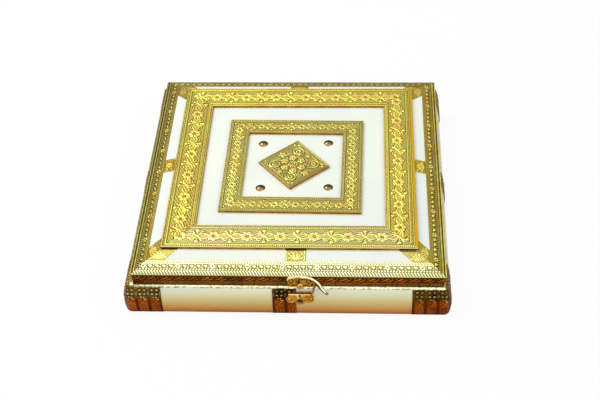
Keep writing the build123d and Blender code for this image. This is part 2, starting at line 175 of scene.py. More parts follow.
def palmette(a, b):
    """Crossed leaves with a bud above and below, for the large strip's period."""
    a, b = np.abs(a), np.abs(b)
    leaf = 0.42 * smooth(2 * boss(a, b, 5.2, 0, 4.2, 2.3))
    branch = stroke(a, b, [(0.3, 0.2, 0.7), (2.3, 2.2, 0.95), (5.2, 2.8, 1.0), (9.2, 1.2, 0.5)])
    leaflet = 0.9 * stroke(a, b, [(2.2, 3.4, 0.4), (3.6, 4.9, 0.8), (5.6, 4.6, 0.4)])
    stalk = 0.45 * stroke(a, b, [(0, 1.5, 0.5), (0, 5.0, 0.9)])
    return highest(leaf, branch, leaflet, stalk, boss(a, b, 0, 6.1, 1.75, 1.5))


def floral_strip(width, period, phase, margin=0.0):
    """Pattern of the raised frame strips: edge ropes, lines, ribbed ground, flowers and palmettes."""
    scale = period / LARGE_FRAME["period"]

    def pattern(u, v):
        v = (v - margin) * width / (width - margin)
        edge = np.minimum(v, width - v)
        b = (v - width / 2) / scale
        motif = highest(
            palmette(folded(u, period, phase) / scale, b),
            flower(folded(u, period, phase + period / 2) / scale, b, 1.1),
        )
        slant = math.radians(27)
        ribs = np.cos(2 * math.pi * (v * math.cos(slant) - u * math.sin(slant)) / (2.1 * scale**0.5))
        ground = smooth((edge - 4.4 * scale) / 0.5)
        rail = line(edge, 3.5 * scale, 0.7 * scale)
        bead = line(edge, 2.1 * scale, 0.75 * scale) * smooth(1.3 * twist(u, edge, 1.5, 0.5) - 0.2)
        height = 0.07 * ribs * ground + 0.45 * scale**0.5 * smooth(motif * 1.15)
        height = highest(height, 0.35 * rail, 0.45 * bead)
        lip = smooth((1.25 * scale - edge) / 0.4)
        height = highest(height, 0.4 * lip)
        height -= 0.5 * smooth(1 - edge / (0.55 * scale))
        plain = smooth(-v / 0.3)
        height = height * (1 - plain) + 0.2 * plain
        gold = highest(smooth(motif * 1.7), 0.8 * rail, bead, (0.36 + 0.24 * ribs) * ground)
        gold = highest(gold, 0.85 * lip)
        return height, gold, plain

    return pattern


def border_pattern(width, phase, ridged):
    """Pattern of the lid's outer slope: rope or ridges, stars between hearts, and an inner hatch."""
    period = 26.9
    heart_pitch = period / 5
    stroke_pitch = 2.3

    def pattern(u, v):
        a = folded(u, period, phase)
        b = v - 7.0
        star = 0.8 * flower(a, b, 0.45, 6)
        hearts = np.zeros_like(u)
        for k in (-2, -1, 1, 2):
            centre = heart_pitch * k
            for side in (-1, 1):
                hearts = highest(hearts, boss(a, b, centre + 0.6 * side, 0.3, 0.95, 1.0, 0.5 * side))
            hearts = highest(hearts, 0.9 * boss(a, b, centre, -0.7, 0.6, 0.8))
        between = folded(a, heart_pitch, heart_pitch / 2)
        for side in (-1, 1):
            hearts = highest(hearts, 0.45 * boss(between, b, 0, 0.95 * side, 0.5, 0.5))
        motif = highest(star, hearts)
        outer = line(v, 1.4, 2.0) * (0.3 + 0.7 * dashes(u, v, stroke_pitch, 0.5))
        second = line(v, 4.3, 0.75) * dashes(u, v, stroke_pitch, -0.3)
        if ridged:
            outer = highest(line(v, -0.9, 0.6), 0.8 * line(v, 1.4, 0.85), 0.5 * line(v, 3.2, 0.4))
            outer *= 0.75 + 0.25 * twist(u, v, 9.7, 0.8)
            second *= 0.6
        hatch = dashes(u, v, stroke_pitch, 0.3) * smooth((v - width + 2.6) / 0.3)
        inner = (0.7 if ridged else 1) * (smooth((v - width + 3.3) / 0.4) - 0.55 * hatch)
        height = highest(0.5 * smooth(motif * 1.15), 0.45 * outer, 0.35 * second, 0.3 * inner)
        height -= 0.25 * smooth(1 - (width - v) / 0.4)
        gold = highest(smooth(motif * 2.6), outer, 0.8 * second, inner)
        return height, gold, 0.6 * smooth((v - width + 3.4) / 0.6)

    return pattern


def band_pattern(u, v):
    """Pattern of the lid's edge band: slanting leaves between two beads, with painted shadow under the
    border's eave at the top.
    """
    a = folded(u, 10.6, 2.0)
    b = v - 4.2
    leaves = highest(
        stroke(a, b, [(-4.9, -1.3, 0.3), (-2.2, -0.6, 0.6), (0.4, 1.0, 0.8), (2.2, 1.3, 0.3)]),
        0.8 * stroke(a, b, [(-0.6, -2.0, 0.25), (1.8, -1.2, 0.65), (4.4, 0.1, 0.4)]),
        0.7 * stroke(a, b, [(-4.2, 0.9, 0.3), (-2.6, 1.7, 0.5)]),
        0.6 * boss(a, b, 4.3, 1.4, 0.7, 0.45, 0.5),
        0.5 * boss(a, b, 0.4, -0.7, 0.6, 0.35, 0.5),
    )
    specks = twist(u, v, 1.9, 0.7) * twist(u, v, 1.5, -0.9)
    low = rope(u, v, 0.9, 0.7, 1.9, 0.4)
    # Painted shadow under the eave: the top of the band falls to the dark ground tone
    clear_of_eave_shadow = smooth((7.4 - v) / 0.9)
    height = highest(0.5 * smooth(leaves * 1.2), 0.35 * low, 0.12 * specks) * clear_of_eave_shadow
    gold = highest(smooth(leaves * 1.6), 0.7 * low, 0.3 * specks) * clear_of_eave_shadow
    return height, gold, 0.25 * smooth(2.2 * low - 1.0)


def cap_pattern(u, v):
    """Low slanting strokes where the base's side foils turn over the top edge."""
    strokes = smooth(1.7 * twist(u, v, 3.4, 0.7) - 0.4)
    return 0.12 * strokes, strokes, 0 * u


def patch_pattern(phase):
    """Pattern of the base's side foils: panels with a stem and leaves under rows of dots."""
    def pattern(u, v):
        a = folded(u, 9.6, phase)
        ribs = line(np.abs(a), 4.3, 0.3) * smooth((v - 16.5) / 2) * twist(v, a, 5.2, 0)
        dots = highest(
            boss(np.abs(a), v, 1.75, 20.3, 1.05, 0.65, 0.3),
            0.9 * boss(np.abs(a), v, 1.9, 24.0, 0.9, 0.6, -0.4),
            0.8 * boss(np.abs(a), v, 1.0, 17.3, 0.9, 0.55, -0.3),
        )
        stem = highest(
            stroke(a, v, [(-3.4, 8.6, 0.25), (-0.6, 11.4, 0.4), (2.7, 15.4, 0.6), (0.6, 15.8, 0.4)]),
            0.6 * stroke(a, v, [(-2.8, 15.0, 0.3), (-0.8, 14.4, 0.5)]),
            0.4 * stroke(a, v, [(-0.2, 10.6, 0.3), (2.4, 10.4, 0.6), (3.3, 8.8, 0.3)]),
        )
        fan = highest(
            0.8 * stroke(a, v, [(-2.6, 2.2, 0.3), (-1.6, 5.2, 0.7), (-2.8, 7.6, 0.3)]),
            0.8 * stroke(a, v, [(0.2, 1.6, 0.3), (0.7, 4.6, 0.75), (-0.4, 7.8, 0.3)]),
            0.8 * stroke(a, v, [(2.4, 2.4, 0.3), (3.0, 5.0, 0.65), (2.0, 7.4, 0.3)]),
        )
        motif = highest(dots, stem, 0.5 * fan)
        foot = rope(u, v, 0.9, 0.5, 1.5, 0)
        height = highest(0.45 * smooth(motif * 1.2), 0.3 * ribs, 0.2 * foot)
        panel = smooth((4.4 - np.abs(a)) / 1.6)
        return height, highest(smooth(motif * 1.5), 0.55 * ribs, 0.35 * foot), panel

    return pattern


def hip_pattern(middle_u, width, depth, end):
    """Pattern of the lid's hip foils: a fan of petals between beaded edges, with a painted shadow from v
    = end.
    """
    def pattern(u, v):
        a, b = u - middle_u, v - 4.6
        side = np.minimum(a + width / 2, width / 2 - a)
        fan = 0.7 * boss(np.abs(a), b, 4.9, 2.2, 0.8, 0.7)
        for degrees, reach in ((68, 5.2), (40, 5.0), (14, 5.4)):
            angle = math.radians(degrees)
            tip = (reach * math.sin(angle), reach * math.cos(angle) - 3.3, 0.95)
            fan = highest(fan, stroke(np.abs(a), b, [(0.2, -3.3, 0.3), tip]))
        grains = smooth(1.6 * twist(u, v, 1.9, 0.8) * twist(u, v, 1.9, -0.8) - 0.1)
        bead = rope(v, side, 0.9, 0.6, 1.5, 0)
        motif = depth * fan
        height = highest(0.4 * smooth(motif * 1.2), 0.3 * bead, 0.2 * grains)
        # The third value is a painted shadow at the foil's inner end
        return height, highest(smooth(motif * 2.2), bead, 0.8 * grains), 0.9 * smooth((v - end) / 0.4)

    return pattern


def edged(x, y, points, groove=0.75):
    """A ridge with a groove on both sides."""
    wider = [(px, py, radius + groove) for px, py, radius in points]
    ridge = stroke(x, y, points)
    return ridge, smooth(1.5 * stroke(x, y, wider)) * (1 - smooth(2 * ridge))


def paisley(x, y, turn):
    """Drop-shaped band with a curl inside, about (0, 0), and the groove beside it."""
    c, s = math.cos(turn), math.sin(turn)
    a, b = x * c + y * s, y * c - x * s
    drop = [(4.0 * math.cos(t), 4.0 * math.sin(t), 0.8) for t in np.linspace(-2.3, 2.3, 15)]
    band, groove = edged(a, b, [(-6.2, 2.4, 0.4), (-4.8, -1.0, 0.6), *drop, (-4.2, 3.3, 0.7)])
    curl_turns = np.linspace(-2.6, 1.2, 9)
    curl = stroke(a, b, [(1.5 * math.cos(t), 1.5 * math.sin(t), 0.85) for t in curl_turns])
    return highest(band, 0.9 * curl), groove * (1 - smooth(2 * curl))


def diamond_pattern(p, q):
    """Pattern of the diamond plate: rosette, ring of flowers, paisleys and a beaded border."""
    turn = math.radians(DIAMOND_TURN)
    x = p * math.cos(turn) - q * math.sin(turn)
    y = p * math.sin(turn) + q * math.cos(turn)
    edge = DIAMOND_SIDE / 2 - np.maximum(np.abs(p), np.abs(q))
    rx, ry = x + 0.8, y + 0.25
    motif = highest(
        0.7 * ring(rx, ry, 0, 0, 3.3, 0.5) * (0.7 + 0.3 * np.cos(12 * np.arctan2(ry, rx))),
        0.8 * ring(rx, ry, 0, 0, 1.9, 0.4),
        0.8 * boss(rx, ry, 0, 0, 0.7, 0.7),
    )
    grooves = 0.6 * ring(rx, ry, 0, 0, 2.6, 0.5)
    for k in range(6):
        angle = math.radians(93 - 60 * k)
        fx, fy = rx - 8.0 * math.cos(angle), ry - 8.0 * math.sin(angle)
        reach, around = np.hypot(fx, fy), np.arctan2(fy, fx)
        lobes = 3.3 + 0.3 * np.cos(5 * around + k)
        curl = ring(fx, fy, 0, 0, 1.25, 0.45) * smooth(1.2 - np.cos(around - 1.8))
        motif = highest(motif, 0.9 * smooth((lobes - reach) / 0.7) - 0.5 * curl)
        grooves = highest(grooves, smooth(1 - np.abs(reach - lobes - 0.5) / 0.7))
    for k in range(4):
        angle = turn + math.radians(90 * k)
        size = (1.2, 1.8, 1.2, 1.6)[k]
        fx, fy = x - 15.0 * math.cos(angle), y - 15.0 * math.sin(angle)
        reach, around = np.hypot(fx, fy), np.arctan2(fy, fx)
        lobes = size * (1.9 + 0.45 * np.cos(5 * around + k))
        motif = highest(motif, 0.95 * smooth((lobes - reach) / 0.7) - 0.3 * boss(fx, fy, 0, 0, 0.8, 0.8))
        grooves = highest(grooves, 0.8 * smooth(1 - np.abs(reach - lobes - 0.5) / 0.6))
    for degrees in (79, 181, 0, -98):
        angle = math.radians(degrees)
        band, beside = paisley(x - 16.3 * math.cos(angle), y - 16.3 * math.sin(angle), angle + 1.1)
        motif, grooves = highest(motif, band), highest(grooves, beside)
    for k in range(4):
        angle = turn + math.radians(45 + 90 * k)
        for spread in (-0.07, 0.07):
            motif = highest(motif, 0.7 * boss(
                x, y, 23.8 * math.cos(angle + spread), 23.8 * math.sin(angle + spread), 0.9, 0.9
            ))
    along = np.where(np.abs(p) > np.abs(q), q, p)
    beads = line(edge, 2.5, 0.6) * smooth(1.5 * twist(along, edge, 1.9, 0) - 0.3)
    rail = highest(line(edge, 3.7, 0.4), line(edge, 1.4, 0.35))
    rim = smooth((0.9 - edge) / 0.3)
    ribs = twist(x, y, 1.7, 1.0)
    inside = smooth((edge - 4.2) / 0.4)
    relief = 0.5 * smooth(motif * 1.15)
    height = highest(relief, 0.3 * beads, 0.25 * rail, 0.3 * rim, 0.08 * ribs * inside)
    height -= 0.35 * grooves * inside * (1 - smooth(2 * motif))
    ground = (0.2 + 0.25 * ribs) * inside
    gold = highest(smooth(motif * 1.9), 0.6 * beads, 0.6 * rail, 0.45 * rim, ground)
    return height, gold, 0.3 * rim


def linked(name, data):
    obj = bpy.data.objects.new(name, data)
    bpy.context.scene.collection.objects.link(obj)
    return obj


def relief_mesh(name, top, bottom, attributes, materials, full_back):
    """A closed piece from a grid of outer points and the matching inner points, both in mm."""
    rows, columns = top.shape[:2]
    grid = np.arange(rows * columns).reshape(rows, columns)
    quads = np.stack([grid[:-1, :-1], grid[:-1, 1:], grid[1:, 1:], grid[1:, :-1]], axis=-1)
    quads = quads.reshape(-1, 4)
    loop = np.concatenate([grid[0, :-1], grid[:-1, -1], grid[-1, :0:-1], grid[:0:-1, 0]])
    kept = np.arange(rows * columns) if full_back else loop
    lower = rows * columns + (loop if full_back else np.arange(len(loop)))
    skirt = np.stack([np.roll(loop, -1), loop, lower, np.roll(lower, -1)], axis=-1)
    faces = np.concatenate([quads, skirt])
    points = np.concatenate([top.reshape(-1, 3), bottom.reshape(-1, 3)[kept]]) * MM
    if full_back:
        faces = np.concatenate([faces, quads[:, ::-1] + rows * columns])
        sizes = np.full(len(faces), 4)
        corners = faces.ravel()
    else:
        sizes = np.concatenate([np.full(len(faces), 4), [len(loop)]])
        corners = np.concatenate([faces.ravel(), lower[::-1]])
    sizes, corners = sizes.astype(np.int32), corners.astype(np.int32)
    mesh = bpy.data.meshes.new(name)
    mesh.vertices.add(len(points))
    mesh.vertices.foreach_set("co", points.astype(np.float32).ravel())
    mesh.loops.add(len(corners))
    mesh.loops.foreach_set("vertex_index", corners)
    mesh.polygons.add(len(sizes))
    mesh.polygons.foreach_set("loop_start", (np.cumsum(sizes) - sizes).astype(np.int32))
    shown = np.zeros(len(sizes), bool)
    shown[:len(quads)] = True
    mesh.polygons.foreach_set("use_smooth", shown)
    mesh.polygons.foreach_set("material_index", np.where(shown, 0, len(materials) - 1).astype(np.int32))
    for key, values in attributes.items():
        filled = np.concatenate([values.ravel(), values.ravel()[kept]])
        mesh.attributes.new(key, "FLOAT", "POINT").data.foreach_set("value", filled.astype(np.float32))
    mesh.update(calc_edges=True)
    mesh.validate()
    for material in materials:
        mesh.materials.append(material)
    return linked(name, mesh)


def turned(points, degrees):
    c, s = math.cos(math.radians(degrees)), math.sin(math.radians(degrees))
    out = points.copy()
    out[..., 0] = points[..., 0] * c - points[..., 1] * s
    out[..., 1] = points[..., 0] * s + points[..., 1] * c
    return out


def relief_piece(name, surface, u, v, pattern, rise, materials, body, slot, *replaced, full_back=False):
    """Lays a stamped pattern on a surface, from the seat up to the pattern's own height."""
    height, gold, plain = pattern(u, v)
    attributes = {"gold": gold, "crevice": crevices(height), "plain": plain + 0 * u}
    top, bottom = surface(u, v, rise + height), surface(u, v, 0 * height)
    obj = relief_mesh(name, top, bottom, attributes, materials, full_back)
    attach(obj, body)
    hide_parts(*replaced)


def grid_between(length, width, left, right, start=0.0):
    """Grid of (u, v) with v from start to width and u from left to right, numbers or functions of v."""
    columns, rows = max(2, int(length / FINE)), max(2, int((width - start) / FINE))
    v = np.linspace(start, width, rows + 1)[:, None]
    t = np.linspace(0, 1, columns + 1)[None, :]
    left, right = (end(v) if callable(end) else end for end in (left, right))
    return left * (1 - t) + right * t + 0 * v, v + 0 * t


# Materials; tones are screen values from 0 to 255
def fill(tree, node, inputs):
    """Sets each socket to a value, or links it to another node's output."""
    for socket, value in inputs.items():
        if isinstance(value, bpy.types.NodeSocket):
            tree.links.new(value, node.inputs[socket])
        else:
            node.inputs[socket].default_value = value


def add(tree, kind, inputs=None, **settings):
    node = tree.nodes.new(kind)
    for key, value in settings.items():
        setattr(node, key, value)
    fill(tree, node, inputs or {})
    return node


def new_material(name, metallic=0.0):
    material = bpy.data.materials.new(name)
    material.use_nodes = True
    tree = material.node_tree
    shader = tree.nodes["Principled BSDF"]
    shader.inputs["Metallic"].default_value = metallic
    return material, tree, shader


def mix_colour(tree, factor, first, second):
    first, second = (srgb(tone) if isinstance(tone, tuple) else tone for tone in (first, second))
    return add(tree, "ShaderNodeMix", {0: factor, 6: first, 7: second}, data_type="RGBA").outputs[2]


def noise(tree, scale, detail=3.0, roughness=0.55):
    where = add(tree, "ShaderNodeTexCoord").outputs["Object"]
    inputs = {"Vector": where, "Scale": scale, "Detail": detail, "Roughness": roughness}
    return add(tree, "ShaderNodeTexNoise", inputs).outputs["Fac"]


def ramp(tree, value, low, high, out_low=0.0, out_high=1.0):
    inputs = {"Value": value, "From Min": low, "From Max": high, "To Min": out_low, "To Max": out_high}
    return add(tree, "ShaderNodeMapRange", inputs).outputs["Result"]


def coordinate(tree, axis="Z", system="Object"):
    where = add(tree, "ShaderNodeTexCoord").outputs[system]
    return add(tree, "ShaderNodeSeparateXYZ", {"Vector": where}).outputs[axis]


def attribute(tree, name):
    return add(tree, "ShaderNodeAttribute", attribute_name=name).outputs["Fac"]


def product(tree, first, second):
    return add(tree, "ShaderNodeMath", {0: first, 1: second}, operation="MULTIPLY").outputs[0]


def bumped(tree, height, strength, distance):
    inputs = {"Height": height, "Strength": strength, "Distance": distance}
    return add(tree, "ShaderNodeBump", inputs).outputs["Normal"]


def embossed_metal(name, raised, warm, ground, stain, grime_and_shade, plain, rough=(0.3, 0.5)):
    """Stamped sheet: bright on the raised work, oxidised in the ground and dark in the crevices with
    grime and painted shade.
    """
    material, tree, shader = new_material(name, 1.0)
    mask = attribute(tree, "gold")
    bright = mix_colour(tree, ramp(tree, noise(tree, 55.0), 0.42, 0.62), raised, warm)
    dull = mix_colour(tree, ramp(tree, noise(tree, 90.0, 2.0), 0.4, 0.62), ground, stain)
    tone = mix_colour(tree, mask, dull, bright)
    # Plain gold areas, and on the hip foils a painted shadow
    tone = mix_colour(tree, attribute(tree, "plain"), tone, plain)
    # Crevices darkened towards the grime tone, as grime and painted shade
    crevice = ramp(tree, attribute(tree, "crevice"), 0.05, 0.9, 0.0, 0.85)
    fill(tree, shader, {
        "Base Color": mix_colour(tree, crevice, tone, grime_and_shade),
        "Roughness": ramp(tree, mask, 0.0, 1.0, rough[1], rough[0]),
        "Normal": bumped(tree, noise(tree, 2200.0, 2.0), 0.05, 0.0004),
    })
    return material


def side_foil_metal():
    """Antique copper sheet of the base's corners, darker with pale dots above the leaves."""
    material, tree, shader = new_material("patch_copper", 1.0)
    upper = ramp(tree, coordinate(tree), 0.0145, 0.0175)
    patches = ramp(tree, noise(tree, 70.0), 0.4, 0.6)
    wear_and_shade = ramp(tree, noise(tree, 420.0), 0.42, 0.6, 0.25, 1.0)
    left = ramp(tree, noise(tree, 700.0, 1.0), 0.4, 0.56, 0.2, 0.75)
    left = product(tree, ramp(tree, coordinate(tree, "X"), -0.088, -0.1), left)
    low_raised = mix_colour(tree, patches, (214, 122, 30), (186, 88, 12))
    high_raised = mix_colour(tree, wear_and_shade, (118, 84, 28), (220, 186, 116))
    high_raised = mix_colour(tree, left, high_raised, (255, 246, 190))
    raised = mix_colour(tree, upper, low_raised, high_raised)
    glow = mix_colour(tree, patches, (166, 80, 2), (124, 52, 0))
    low_ground = mix_colour(tree, attribute(tree, "plain"), (88, 34, 0), glow)
    high_ground = mix_colour(tree, patches, (40, 24, 2), (84, 58, 12))
    high_ground = mix_colour(tree, left, high_ground, (118, 88, 26))
    ground = mix_colour(tree, upper, low_ground, high_ground)
    tone = mix_colour(tree, attribute(tree, "gold"), ground, raised)
    # Crevices darkened as grime and painted shade
    crevice = ramp(tree, attribute(tree, "crevice"), 0.05, 0.9, 0.0, 0.8)
    fill(tree, shader, {
        "Base Color": mix_colour(tree, crevice, tone, (44, 18, 0)), "Roughness": 0.38,
        "Normal": bumped(tree, noise(tree, 1400.0, 2.0), 0.08, 0.0004),
    })
    return material


def laminate(name, top, low=None):
    """Glossy white laminate; the base's sides get painted shade and reflection, darker and warmer towards
    the foot.
    """
    material, tree, shader = new_material(name)
    tint = mix_colour(tree, ramp(tree, noise(tree, 14.0, 2.0), 0.35, 0.65), top, (232, 238, 230))
    if low:
        # Painted shade and reflection down the bullnose sides
        height = coordinate(tree)
        middle = mix_colour(tree, ramp(tree, height, 0.0262, 0.0155), tint, low[0])
        tint = mix_colour(tree, ramp(tree, height, 0.0165, 0.004), middle, low[1])
        tint = mix_colour(tree, ramp(tree, height, 0.004, 0.0), tint, low[2])
    fill(tree, shader, {
        "Base Color": tint, "Roughness": 0.16, "Coat Weight": 0.15, "Coat Roughness": 0.06,
        "Normal": bumped(tree, noise(tree, 500.0, 2.0), 0.03, 0.0005),
    })
    return material


def wrinkled_foil(name, bright, middle, dark, stretch):
    """Thin foil pressed over the rim by hand: long wrinkles, darkest along its lower edge."""
    material, tree, shader = new_material(name, 1.0)
    where = add(tree, "ShaderNodeTexCoord").outputs["Object"]
    spread = add(tree, "ShaderNodeMapping", {"Vector": where, "Scale": stretch}).outputs["Vector"]
    folds = add(tree, "ShaderNodeTexNoise", {"Vector": spread, "Detail": 2.5}).outputs["Fac"]
    tone = mix_colour(tree, ramp(tree, folds, 0.5, 0.62), bright, middle)
    low = ramp(tree, coordinate(tree), 0.0270, 0.0263)
    tone = mix_colour(tree, product(tree, low, ramp(tree, folds, 0.46, 0.56)), tone, dark)
    corner = ramp(tree, coordinate(tree, "X"), -0.092, -0.118)
    specks = ramp(tree, noise(tree, 800.0, 1.0), 0.4, 0.56, 0.3, 1.0)
    fill(tree, shader, {
        "Base Color": mix_colour(tree, product(tree, corner, specks), tone, (126, 114, 44)),
        "Roughness": 0.25, "Normal": bumped(tree, folds, 0.5, 0.0006),
    })
    return material


def horn_metal():
    """Bright brass that dulls with the shade attribute from 0 to 1 and blackens from 1 to 2."""
    material, tree, shader = new_material("hook_brass", 1.0)
    shade = attribute(tree, "shade")
    polish = ramp(tree, noise(tree, 120.0), 0.35, 0.65)
    bright = mix_colour(tree, polish, (255, 251, 222), (248, 230, 168))
    # Painted shade: the brass dulls and blackens where the shade attribute is high
    wear_and_shade = mix_colour(tree, ramp(tree, shade, 0.0, 1.0), bright, (166, 120, 34))
    fill(tree, shader, {
        "Base Color": mix_colour(tree, ramp(tree, shade, 1.0, 2.0), wear_and_shade, (50, 48, 22)),
        "Roughness": ramp(tree, shade, 0.0, 1.0, 0.12, 0.3),
    })
    return material


def domed_bronze():
    """Dark bronze of the studs, blacker on the side away from the light."""
    material, tree, shader = new_material("stud_bronze", 1.0)
    patches = ramp(tree, noise(tree, 14.0), 0.4, 0.6)
    tone = mix_colour(tree, patches, (172, 132, 82), (136, 120, 84))
    away = ramp(tree, coordinate(tree, "Y", "Normal"), -0.5, 0.02)
    fill(tree, shader, {"Base Color": mix_colour(tree, away, tone, (58, 44, 26)), "Roughness": 0.2})
    return material


def polished(name, colour, dark, roughness, scale=120.0):
    material, tree, shader = new_material(name, 1.0)
    fill(tree, shader, {
        "Base Color": mix_colour(tree, ramp(tree, noise(tree, scale), 0.35, 0.65), colour, dark),
        "Roughness": ramp(tree, noise(tree, 3 * scale, 2.0), 0.3, 0.7, 0.7 * roughness, 1.4 * roughness),
    })
    return material


def velvet(name, colour, dark):
    material, tree, shader = new_material(name)
    fill(tree, shader, {
        "Base Color": mix_colour(tree, ramp(tree, noise(tree, 260.0, 4.0), 0.35, 0.65), colour, dark),
        "Roughness": 0.95, "Sheen Weight": 0.8, "Sheen Roughness": 0.4,
        "Normal": bumped(tree, noise(tree, 3500.0, 2.0), 0.4, 0.0003),
    })
    return material


def toned_metals(family, shares, tones):
    """Stamped sheet for some sides, with all its tones made lighter or darker together as painted light
    and shade.
    """
    return {
        side: embossed_metal(
            f"{family}_{side}", *(tuple(share * value for value in tone) for tone in tones)
        )
        for side, share in shares.items()
    }


# Raised, warm, ground, stain, grime and painted shade in the crevices, and plain tone, which on the hip
# foils is a painted shadow
FRAME_TONES = (
    (236, 230, 126), (244, 222, 144), (146, 148, 88), (154, 144, 112), (96, 84, 24), (214, 168, 44)
)
SIDE_TONES = (
    (236, 224, 100), (238, 204, 98), (144, 142, 60), (152, 136, 78), (94, 80, 18), (214, 164, 36)
)
BORDER_TONES = (
    (214, 204, 102), (210, 174, 62), (96, 92, 40), (108, 92, 58), (54, 48, 12), (134, 108, 34)
)
# The hip foils' last tone is a painted shadow
HIP_TONES = (226, 208, 98), (220, 172, 54), (132, 116, 38), (134, 124, 58), (82, 62, 12), (84, 44, 6)
# Lit and shaded copies of the same foils by side, with the front strips brighter: painted light and shade
strip_metals = toned_metals("strip", {"right": 1.0, "back": 1.03, "left": 0.94}, SIDE_TONES)
strip_metals |= toned_metals("strip", {"front": 1.0}, FRAME_TONES)
border_metals = toned_metals("border", {"right": 1.15, "back": 1.05, "left": 0.9}, BORDER_TONES)
hip_metals = toned_metals("hip", {"right": 1.12, "back": 1.05, "left": 0.88}, HIP_TONES)
# The front border and hip foils are brighter, paler copies: painted light
border_metals["front"] = embossed_metal(
    "border_front", (252, 250, 214), (240, 238, 174), (160, 158, 92), (176, 172, 110),
    (104, 98, 38), (240, 238, 166), (0.22, 0.42),
)
# The last tone is the painted shadow under the frame's edge
hip_metals["front"] = embossed_metal(
    "hip_pale", (238, 230, 142), (226, 216, 116), (176, 168, 82), (186, 168, 80),
    (112, 98, 30), (84, 44, 6),
)
small_gold = embossed_metal(
    "small_gold", (218, 208, 108), (216, 190, 88), (130, 130, 80), (140, 130, 96),
    (84, 72, 18), (204, 158, 40),
)
band_copper = embossed_metal(
    "band_copper", (204, 110, 20), (146, 76, 8), (60, 32, 0), (84, 48, 2), (30, 14, 0), (158, 118, 44),
    (0.35, 0.55),
)
cap_copper = embossed_metal(
    "cap_copper", (176, 126, 46), (150, 92, 28), (92, 58, 16), (88, 72, 22), (44, 24, 4), (150, 90, 30)
)
patch_copper = side_foil_metal()
edge_gold = polished("edge_gold", (186, 134, 26), (150, 92, 8), 0.35)
# The rim foil in copies by side: painted light at the front, painted shade on the left
rim_metals = dict.fromkeys(SIDES, wrinkled_foil(
    "rim_pale", (226, 228, 202), (204, 200, 162), (120, 112, 84), (700.0, 14.0, 500.0)
))
rim_metals["front"] = wrinkled_foil(
    "rim_gold", (252, 250, 212), (220, 208, 126), (92, 86, 50), (95.0, 30.0, 240.0)
)
rim_metals["left"] = wrinkled_foil(
    "rim_shaded", (196, 194, 140), (112, 110, 66), (70, 68, 40), (900.0, 10.0, 500.0)
)
white_top = laminate("white_top", (239, 244, 230))
# Painted shade down the base's sides, from cream to tan and brown at the foot
white_side = laminate("white_side", (244, 246, 214), ((218, 204, 134), (201, 131, 18), (160, 86, 0)))
hook_brass = horn_metal()
plate_brass = polished("plate_brass", (214, 160, 48), (168, 104, 18), 0.18, 300.0)
# Bright tone of the bevelled plate edges: painted highlight
plate_edge = polished("plate_edge", (250, 232, 150), (226, 176, 66), 0.15, 300.0)
nail_copper = polished("nail_copper", (244, 166, 118), (216, 122, 70), 0.15)
stud_bronze = domed_bronze()
board_brown = polished("board_brown", (150, 112, 74), (128, 92, 58), 0.8)
maroon = velvet("maroon", (122, 18, 32), (92, 10, 22))


# Materials of the CAD pieces by a part of their names, of which the first that fits counts
PAINTS = {
    "base_wall": white_side, "lid_rail": white_top, "lid_centre": white_top,
    "base_floor_board": board_brown, "lining": maroon, "divider": maroon,
    **{f"base_rim_foil_{side}": metal for side, metal in rim_metals.items()},
    "dome_studs": stud_bronze, "latch_hook": hook_brass, "latch_catch_nails": nail_copper,
    "latch": plate_brass, "hinge": plate_brass,
}
for name, node in nodes.items():
    fitting = [material for part, material in PAINTS.items() if part in name]
    if fitting:
        node.data.materials.clear()
        node.data.materials.append(fitting[0])


# Raised frames and the diamond on the lid
def raised_frame(prefix, sizes, metals, phases, margins):
    half, width, shift = sizes["half"], sizes["width"], sizes["shift"]
    for side, angle in SIDES.items():
        def laid(u, v, lift):
            flat = np.stack([u, -(half - v), BOARD_TOP + lift], axis=-1)
            return turned(flat, angle + sizes["turn"]) + (LID_OFFSET + shift[0], shift[1], 0)

        u, v = grid_between(2 * half, width, lambda v: -(half - v - 0.05), lambda v: half - v - 0.05)
        margin = margins.get(side, 0.0)
        pattern = floral_strip(width, sizes["period"], phases[side], margin)
        node = f"{prefix}_{side}"
        relief_piece(
            f"{node}_embossed", laid, u, v, pattern, FIELD_THICKNESS, [metals[side], edge_gold],
            "lid", "embossed_strip", node,
        )


raised_frame(
    "large_frame_strip", LARGE_FRAME, strip_metals,
    {"front": 6.6, "right": -10.8, "back": 6.6, "left": 2.4}, {"right": 2.3},
)
raised_frame(
    "small_frame_strip", SMALL_FRAME, dict.fromkeys(SIDES, small_gold),
    {"front": -3.8, "right": 0.0, "back": 4.0, "left": 0.0}, {},
)


def diamond_plan(p, q, lift):
    flat = turned(np.stack([p, q, BOARD_TOP + lift], axis=-1), DIAMOND_TURN)
    return flat + (LID_OFFSET + DIAMOND_SHIFT[0], DIAMOND_SHIFT[1], 0)


p, q = grid_between(DIAMOND_SIDE, DIAMOND_SIDE, -DIAMOND_SIDE / 2, DIAMOND_SIDE / 2)
relief_piece(
    "diamond_embossed", diamond_plan, p, q - DIAMOND_SIDE / 2, diamond_pattern, FIELD_THICKNESS,
    [small_gold, edge_gold], "lid", "embossed_strip", "diamond_plate",
)


# Foils on the lid's slopes and edge
def slope_surface(low, high, angle):
    """Surface of a slope round the lid between two edges, each given as (distance, height)."""
    run, rise = low[0] - high[0], high[1] - low[1]
    width = math.hypot(run, rise)
    out, up = rise / width, run / width

    def laid(u, v, lift):
        reach = low[0] - v * run / width
        grown = reach + lift * out
        flat = np.stack([u * grown / reach, -grown, low[1] + v * rise / width + lift * up], axis=-1)
        return turned(flat, angle) + (LID_OFFSET, 0, 0)

    return laid, width, lambda v: low[0] - v * run / width


